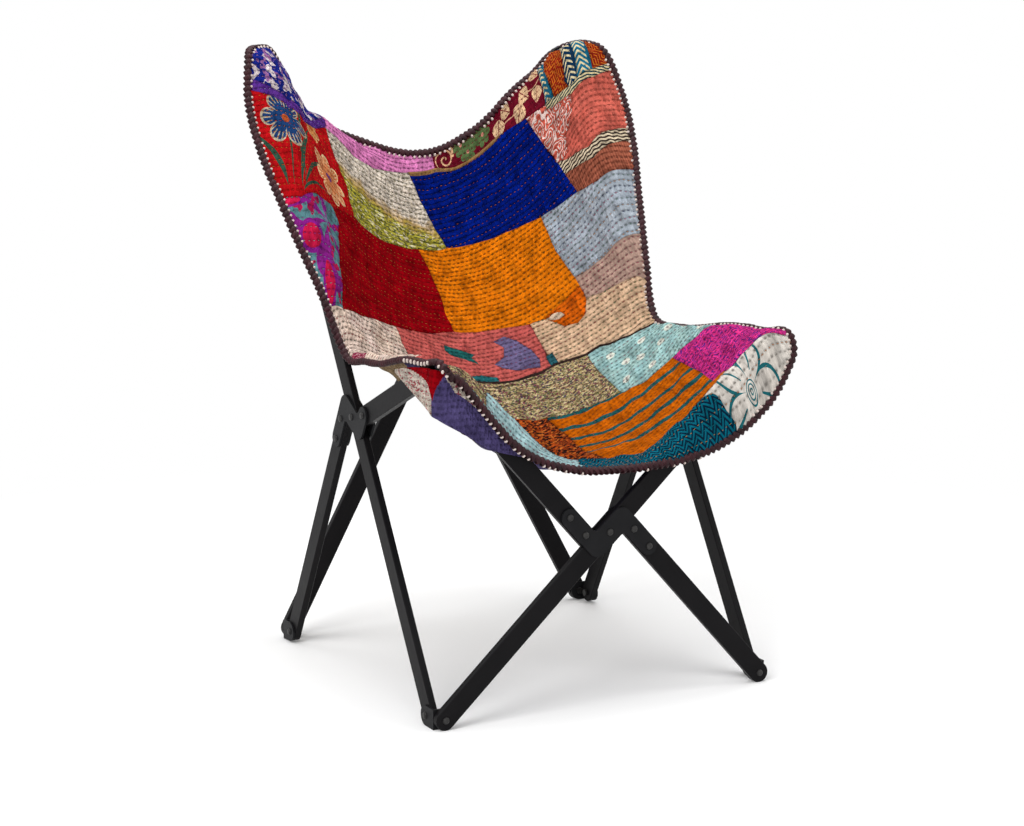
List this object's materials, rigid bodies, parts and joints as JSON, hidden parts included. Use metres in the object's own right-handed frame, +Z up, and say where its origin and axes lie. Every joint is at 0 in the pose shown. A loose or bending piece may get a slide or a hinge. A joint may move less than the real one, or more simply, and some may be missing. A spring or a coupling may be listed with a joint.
{
  "type": "butterfly sling chair",
  "caption": "Folding butterfly chair: crossed flat black bars on hub plates and foot brackets carry a quilted patchwork cloth sling on the bar ends.",
  "frame": {"origin": "on the floor below the middle of the bounding box", "axes": "+Z up, +X to the right seen from the front, the chair faces -Y"},
  "size_m": [0.6288, 0.6296, 0.8909],
  "materials": {
    "bar_black": "satin black lacquer on flat bars with eased edges",
    "plate_steel": "satin black powder coat on steel plate",
    "bolt_steel": "blackened steel, low gloss",
    "sling_back_quilt": "hand-stitched cotton patchwork of many colours",
    "sling_seat_quilt": "hand-stitched cotton patchwork of many colours",
    "pocket_quilt": "stitched cotton patchwork"
  },
  "bodies": {
    "front_left_foot": {"front_left_foot_bracket": "plate_steel", "front_left_foot_side_bolt": "bolt_steel", "front_left_foot_end_bolt": "bolt_steel"},
    "front_straight": {"front_straight_bar": "bar_black"},
    "front_halves": {"front_lower_half_bar": "bar_black", "front_upper_half_bar": "bar_black", "front_hub_plate_outer": "plate_steel", "front_hub_plate_inner": "plate_steel", "front_hub_pivot_bolt": "bolt_steel", "front_hub_bolt_1": "bolt_steel", "front_hub_bolt_2": "bolt_steel", "front_hub_bolt_3": "bolt_steel", "front_hub_bolt_4": "bolt_steel"},
    "front_right_foot": {"front_right_foot_bracket": "plate_steel", "front_right_foot_side_bolt": "bolt_steel", "front_right_foot_end_bolt": "bolt_steel"},
    "left_straight": {"left_straight_bar": "bar_black", "rear_left_pocket": "pocket_quilt", "sling_back_panel": "sling_back_quilt"},
    "left_leg": {"left_rear_leg_bar": "bar_black", "left_hub_plate_outer": "plate_steel", "left_hub_plate_inner": "plate_steel", "left_hub_pivot_bolt": "bolt_steel", "left_hub_bolt_1": "bolt_steel", "left_hub_bolt_2": "bolt_steel", "left_hub_bolt_3": "bolt_steel"},
    "left_arm": {"left_arm_bar": "bar_black", "front_left_pocket": "pocket_quilt"},
    "rear_left_foot": {"rear_left_foot_bracket": "plate_steel", "rear_left_foot_side_bolt": "bolt_steel", "rear_left_foot_end_bolt": "bolt_steel"},
    "right_straight": {"right_straight_bar": "bar_black", "rear_right_pocket": "pocket_quilt"},
    "right_leg": {"right_rear_leg_bar": "bar_black", "right_hub_plate_outer": "plate_steel", "right_hub_plate_inner": "plate_steel", "right_hub_pivot_bolt": "bolt_steel", "right_hub_bolt_1": "bolt_steel", "right_hub_bolt_2": "bolt_steel", "right_hub_bolt_3": "bolt_steel"},
    "right_arm": {"right_arm_bar": "bar_black", "front_right_pocket": "pocket_quilt"},
    "rear_right_foot": {"rear_right_foot_bracket": "plate_steel", "rear_right_foot_side_bolt": "bolt_steel", "rear_right_foot_end_nut": "bolt_steel"},
    "rear_straight": {"rear_straight_bar": "bar_black"},
    "rear_halves": {"rear_lower_half_bar": "bar_black", "rear_upper_half_bar": "bar_black", "rear_hub_plate_outer": "plate_steel", "rear_hub_plate_inner": "plate_steel", "rear_hub_pivot_bolt": "bolt_steel", "rear_hub_bolt_1": "bolt_steel", "rear_hub_bolt_2": "bolt_steel", "rear_hub_bolt_3": "bolt_steel", "rear_hub_bolt_4": "bolt_steel", "rear_right_foot_end_bolt": "bolt_steel"},
    "sling_seat": {"sling_seat_panel": "sling_seat_quilt"}
  },
  "joints": [
    {"name": "front_straight_fold", "type": "hinge", "parent": "front_left_foot", "child": "front_straight", "pos_m": [-0.248, -0.29271, 0.014], "axis": [0, -1, 0], "range_deg": [0, 43]},
    {"name": "front_halves_fold", "type": "hinge", "parent": "front_straight", "child": "front_halves", "pos_m": [0, -0.29271, 0.246], "axis": [0, -1, 0], "range_deg": [-86, 0]},
    {"name": "front_right_foot_turn", "type": "hinge", "parent": "front_halves", "child": "front_right_foot", "pos_m": [0.248, -0.29271, 0.014], "axis": [0, -1, 0], "range_deg": [0, 43]},
    {"name": "left_straight_fold", "type": "hinge", "parent": "front_left_foot", "child": "left_straight", "pos_m": [-0.2537, -0.26271, 0.014], "axis": [1, 0, 0], "range_deg": [0, 27.29], "deforming": ["sling_back_panel", "rear_left_pocket"]},
    {"name": "left_leg_fold", "type": "hinge", "parent": "left_straight", "child": "left_leg", "pos_m": [-0.2537, -0.02981, 0.383], "axis": [1, 0, 0], "range_deg": [-59.36, 0]},
    {"name": "left_arm_fold", "type": "hinge", "parent": "left_leg", "child": "left_arm", "pos_m": [-0.2537, -0.06671, 0.39102], "axis": [1, 0, 0], "range_deg": [-35.62, 0], "deforming": ["front_left_pocket"]},
    {"name": "rear_left_foot_turn", "type": "hinge", "parent": "left_leg", "child": "rear_left_foot", "pos_m": [-0.2537, 0.20729, 0.01667], "axis": [1, 0, 0], "range_deg": [0, 34.06]},
    {"name": "right_straight_fold", "type": "hinge", "parent": "front_right_foot", "child": "right_straight", "pos_m": [0.2537, -0.26271, 0.014], "axis": [1, 0, 0], "range_deg": [0, 27.29], "deforming": ["rear_right_pocket"]},
    {"name": "right_leg_fold", "type": "hinge", "parent": "right_straight", "child": "right_leg", "pos_m": [0.2537, -0.02981, 0.383], "axis": [1, 0, 0], "range_deg": [-59.36, 0]},
    {"name": "right_arm_fold", "type": "hinge", "parent": "right_leg", "child": "right_arm", "pos_m": [0.2537, -0.06671, 0.39102], "axis": [1, 0, 0], "range_deg": [-35.62, 0], "deforming": ["front_right_pocket"]},
    {"name": "rear_right_foot_turn", "type": "hinge", "parent": "right_leg", "child": "rear_right_foot", "pos_m": [0.2537, 0.20729, 0.01667], "axis": [1, 0, 0], "range_deg": [0, 34.06]},
    {"name": "rear_straight_fold", "type": "hinge", "parent": "rear_left_foot", "child": "rear_straight", "pos_m": [-0.248, 0.23719, 0.01435], "axis": [0, -0.997, 0.0776], "range_deg": [0, 27.67]},
    {"name": "rear_halves_fold", "type": "hinge", "parent": "rear_straight", "child": "rear_halves", "pos_m": [0, 0.27014, 0.43751], "axis": [0, -0.997, 0.0776], "range_deg": [-55.34, 0]},
    {"name": "sling_crease_fold", "type": "hinge", "parent": "left_straight", "child": "sling_seat", "pos_m": [0, 0.01229, 0.48], "axis": [1, 0, 0], "range_deg": [-109.92, 0], "deforming": ["sling_seat_panel"]}
  ],
  "couplings": [
    {"joint": "front_halves_fold", "follows": "front_straight_fold", "ratio": -2},
    {"joint": "front_right_foot_turn", "follows": "front_straight_fold", "ratio": 1},
    {"joint": "left_straight_fold", "follows": "front_straight_fold", "ratio": 0.6346},
    {"joint": "left_leg_fold", "follows": "front_straight_fold", "ratio": -1.3804},
    {"joint": "left_arm_fold", "follows": "front_straight_fold", "ratio": -0.82836},
    {"joint": "rear_left_foot_turn", "follows": "front_straight_fold", "ratio": 0.79202},
    {"joint": "right_straight_fold", "follows": "front_straight_fold", "ratio": 0.6346},
    {"joint": "right_leg_fold", "follows": "front_straight_fold", "ratio": -1.3804},
    {"joint": "right_arm_fold", "follows": "front_straight_fold", "ratio": -0.82836},
    {"joint": "rear_right_foot_turn", "follows": "front_straight_fold", "ratio": 0.79202},
    {"joint": "rear_straight_fold", "follows": "front_straight_fold", "ratio": 0.64347},
    {"joint": "rear_halves_fold", "follows": "front_straight_fold", "ratio": -1.2869},
    {"joint": "sling_crease_fold", "follows": "front_straight_fold", "ratio": -2.5562}
  ]
}
